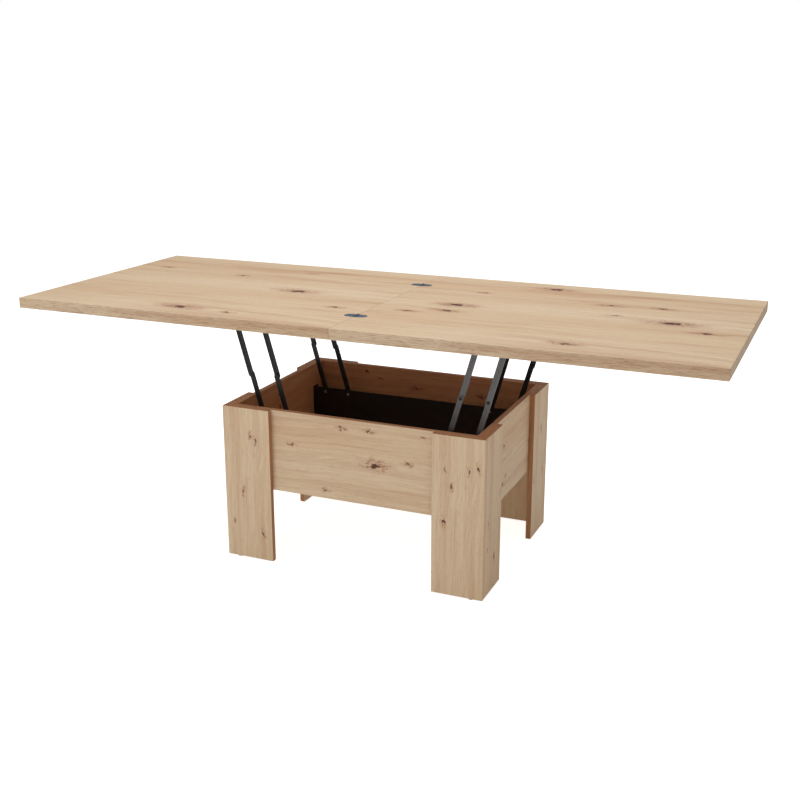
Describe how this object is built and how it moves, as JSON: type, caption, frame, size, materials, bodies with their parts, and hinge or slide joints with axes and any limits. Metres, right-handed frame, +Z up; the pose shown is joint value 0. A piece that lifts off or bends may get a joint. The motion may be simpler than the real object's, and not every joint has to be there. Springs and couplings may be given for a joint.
{
  "type": "lift top coffee table",
  "caption": "Oak-look coffee table whose double top lifts on folding steel arms above an open storage box, slides along rails and folds over at a central seam.",
  "frame": {"origin": "on the floor under the middle of the table, which is the middle of the bounding box's bottom", "axes": "+X along the long top toward the folding leaf, +Y toward the back, +Z up"},
  "size_m": [2, 0.8, 0.745],
  "materials": {
    "oak_top": "matt wood-grain laminate, knotty light oak",
    "oak_board": "matt wood-grain laminate, knotty light oak",
    "black_steel": "black powder coat",
    "zinc_steel": "zinc plated",
    "hinge_steel": "blue-grey burnished",
    "glide_plastic": "pale moulded plastic"
  },
  "bodies": {
    "base": {"apron_front": "oak_board", "apron_back": "oak_board", "apron_left": "oak_board", "apron_right": "oak_board", "box_floor": "oak_board", "side_plate_front": "black_steel", "side_plate_back": "black_steel", "leg_face_front_left": "oak_board", "leg_side_front_left": "oak_board", "glide_front_left": "glide_plastic", "leg_face_front_right": "oak_board", "leg_side_front_right": "oak_board", "glide_front_right": "glide_plastic", "leg_face_back_left": "oak_board", "leg_side_back_left": "oak_board", "glide_back_left": "glide_plastic", "leg_face_back_right": "oak_board", "leg_side_back_right": "oak_board", "glide_back_right": "glide_plastic"},
    "lift_frame": {"rail_front": "black_steel", "rail_back": "black_steel", "cross_tie_left": "black_steel", "cross_tie_right": "black_steel", "top_slider_front_seam": "zinc_steel", "top_slider_front_end": "zinc_steel", "top_slider_back_seam": "zinc_steel", "top_slider_back_end": "zinc_steel"},
    "bracket_front_left": {"bracket_front_left": "black_steel"},
    "lower_front_left_outer": {"arm_lower_front_left_outer": "black_steel"},
    "upper_front_left_outer": {"arm_upper_front_left_outer": "black_steel"},
    "lower_front_left_inner": {"arm_lower_front_left_inner": "black_steel"},
    "upper_front_left_inner": {"arm_upper_front_left_inner": "black_steel"},
    "bracket_front_right": {"bracket_front_right": "black_steel"},
    "lower_front_right_outer": {"arm_lower_front_right_outer": "black_steel"},
    "upper_front_right_outer": {"arm_upper_front_right_outer": "black_steel"},
    "lower_front_right_inner": {"arm_lower_front_right_inner": "black_steel"},
    "upper_front_right_inner": {"arm_upper_front_right_inner": "black_steel"},
    "bracket_back_left": {"bracket_back_left": "black_steel"},
    "lower_back_left_outer": {"arm_lower_back_left_outer": "black_steel"},
    "upper_back_left_outer": {"arm_upper_back_left_outer": "black_steel"},
    "lower_back_left_inner": {"arm_lower_back_left_inner": "black_steel"},
    "upper_back_left_inner": {"arm_upper_back_left_inner": "black_steel"},
    "bracket_back_right": {"bracket_back_right": "black_steel"},
    "lower_back_right_outer": {"arm_lower_back_right_outer": "black_steel"},
    "upper_back_right_outer": {"arm_upper_back_right_outer": "black_steel"},
    "lower_back_right_inner": {"arm_lower_back_right_inner": "black_steel"},
    "upper_back_right_inner": {"arm_upper_back_right_inner": "black_steel"},
    "left_leaf": {"top_leaf_left": "oak_top", "track_front": "zinc_steel", "track_back": "zinc_steel", "hinge_front_left": "hinge_steel", "hinge_back_left": "hinge_steel", "hinge_pin_front": "zinc_steel", "hinge_pin_back": "zinc_steel"},
    "right_leaf": {"top_leaf_right": "oak_top", "hinge_front_right": "hinge_steel", "hinge_back_right": "hinge_steel"}
  },
  "joints": [
    {"name": "lift", "type": "slide", "parent": "base", "child": "lift_frame", "axis": [0, 0, 1], "range_m": [-0.25214, 0]},
    {"name": "rail_slide_front_left", "type": "slide", "parent": "lift_frame", "child": "bracket_front_left", "axis": [-1, 0, 0], "range_m": [-0.06402, 0]},
    {"name": "base_pivot_front_left_outer", "type": "hinge", "parent": "base", "child": "lower_front_left_outer", "pos_m": [-0.3195, -0.177, 0.3745], "axis": [0, 1, 0], "range_deg": [0, 78.47]},
    {"name": "top_pivot_front_left_outer", "type": "hinge", "parent": "bracket_front_left", "child": "upper_front_left_outer", "pos_m": [-0.40925, -0.1825, 0.6875], "axis": [0, 1, 0], "range_deg": [-78.47, 0]},
    {"name": "base_pivot_front_left_inner", "type": "hinge", "parent": "base", "child": "lower_front_left_inner", "pos_m": [-0.2385, -0.177, 0.3745], "axis": [0, 1, 0], "range_deg": [0, 78.47]},
    {"name": "top_pivot_front_left_inner", "type": "hinge", "parent": "bracket_front_left", "child": "upper_front_left_inner", "pos_m": [-0.32825, -0.1715, 0.6875], "axis": [0, 1, 0], "range_deg": [-78.47, 0]},
    {"name": "rail_slide_front_right", "type": "slide", "parent": "lift_frame", "child": "bracket_front_right", "axis": [1, 0, 0], "range_m": [-0.06402, 0]},
    {"name": "base_pivot_front_right_outer", "type": "hinge", "parent": "base", "child": "lower_front_right_outer", "pos_m": [0.3195, -0.177, 0.3745], "axis": [0, -1, 0], "range_deg": [0, 78.47]},
    {"name": "top_pivot_front_right_outer", "type": "hinge", "parent": "bracket_front_right", "child": "upper_front_right_outer", "pos_m": [0.40925, -0.1825, 0.6875], "axis": [0, -1, 0], "range_deg": [-78.47, 0]},
    {"name": "base_pivot_front_right_inner", "type": "hinge", "parent": "base", "child": "lower_front_right_inner", "pos_m": [0.2385, -0.177, 0.3745], "axis": [0, -1, 0], "range_deg": [0, 78.47]},
    {"name": "top_pivot_front_right_inner", "type": "hinge", "parent": "bracket_front_right", "child": "upper_front_right_inner", "pos_m": [0.32825, -0.1715, 0.6875], "axis": [0, -1, 0], "range_deg": [-78.47, 0]},
    {"name": "rail_slide_back_left", "type": "slide", "parent": "lift_frame", "child": "bracket_back_left", "axis": [-1, 0, 0], "range_m": [-0.06402, 0]},
    {"name": "base_pivot_back_left_outer", "type": "hinge", "parent": "base", "child": "lower_back_left_outer", "pos_m": [-0.3195, 0.208, 0.3745], "axis": [0, 1, 0], "range_deg": [0, 78.47]},
    {"name": "top_pivot_back_left_outer", "type": "hinge", "parent": "bracket_back_left", "child": "upper_back_left_outer", "pos_m": [-0.40925, 0.2135, 0.6875], "axis": [0, 1, 0], "range_deg": [-78.47, 0]},
    {"name": "base_pivot_back_left_inner", "type": "hinge", "parent": "base", "child": "lower_back_left_inner", "pos_m": [-0.2385, 0.208, 0.3745], "axis": [0, 1, 0], "range_deg": [0, 78.47]},
    {"name": "top_pivot_back_left_inner", "type": "hinge", "parent": "bracket_back_left", "child": "upper_back_left_inner", "pos_m": [-0.32825, 0.2025, 0.6875], "axis": [0, 1, 0], "range_deg": [-78.47, 0]},
    {"name": "rail_slide_back_right", "type": "slide", "parent": "lift_frame", "child": "bracket_back_right", "axis": [1, 0, 0], "range_m": [-0.06402, 0]},
    {"name": "base_pivot_back_right_outer", "type": "hinge", "parent": "base", "child": "lower_back_right_outer", "pos_m": [0.3195, 0.208, 0.3745], "axis": [0, -1, 0], "range_deg": [0, 78.47]},
    {"name": "top_pivot_back_right_outer", "type": "hinge", "parent": "bracket_back_right", "child": "upper_back_right_outer", "pos_m": [0.40925, 0.2135, 0.6875], "axis": [0, -1, 0], "range_deg": [-78.47, 0]},
    {"name": "base_pivot_back_right_inner", "type": "hinge", "parent": "base", "child": "lower_back_right_inner", "pos_m": [0.2385, 0.208, 0.3745], "axis": [0, -1, 0], "range_deg": [0, 78.47]},
    {"name": "top_pivot_back_right_inner", "type": "hinge", "parent": "bracket_back_right", "child": "upper_back_right_inner", "pos_m": [0.32825, 0.2025, 0.6875], "axis": [0, -1, 0], "range_deg": [-78.47, 0]},
    {"name": "top_slide", "type": "slide", "parent": "lift_frame", "child": "left_leaf", "axis": [1, 0, 0], "range_m": [0, 0.5]},
    {"name": "leaf_fold", "type": "hinge", "parent": "left_leaf", "child": "right_leaf", "pos_m": [0, 0, 0.7429], "axis": [0, -1, 0], "range_deg": [0, 180]}
  ],
  "couplings": [
    {"joint": "rail_slide_front_left", "follows": "lift", "ratio": 0.25312},
    {"joint": "base_pivot_front_left_outer", "follows": "lift", "rad_per_m": -5.4248},
    {"joint": "top_pivot_front_left_outer", "follows": "lift", "rad_per_m": 5.4248},
    {"joint": "base_pivot_front_left_inner", "follows": "lift", "rad_per_m": -5.4248},
    {"joint": "top_pivot_front_left_inner", "follows": "lift", "rad_per_m": 5.4248},
    {"joint": "rail_slide_front_right", "follows": "lift", "ratio": 0.25312},
    {"joint": "base_pivot_front_right_outer", "follows": "lift", "rad_per_m": -5.4248},
    {"joint": "top_pivot_front_right_outer", "follows": "lift", "rad_per_m": 5.4248},
    {"joint": "base_pivot_front_right_inner", "follows": "lift", "rad_per_m": -5.4248},
    {"joint": "top_pivot_front_right_inner", "follows": "lift", "rad_per_m": 5.4248},
    {"joint": "rail_slide_back_left", "follows": "lift", "ratio": 0.25312},
    {"joint": "base_pivot_back_left_outer", "follows": "lift", "rad_per_m": -5.4248},
    {"joint": "top_pivot_back_left_outer", "follows": "lift", "rad_per_m": 5.4248},
    {"joint": "base_pivot_back_left_inner", "follows": "lift", "rad_per_m": -5.4248},
    {"joint": "top_pivot_back_left_inner", "follows": "lift", "rad_per_m": 5.4248},
    {"joint": "rail_slide_back_right", "follows": "lift", "ratio": 0.25312},
    {"joint": "base_pivot_back_right_outer", "follows": "lift", "rad_per_m": -5.4248},
    {"joint": "top_pivot_back_right_outer", "follows": "lift", "rad_per_m": 5.4248},
    {"joint": "base_pivot_back_right_inner", "follows": "lift", "rad_per_m": -5.4248},
    {"joint": "top_pivot_back_right_inner", "follows": "lift", "rad_per_m": 5.4248}
  ]
}
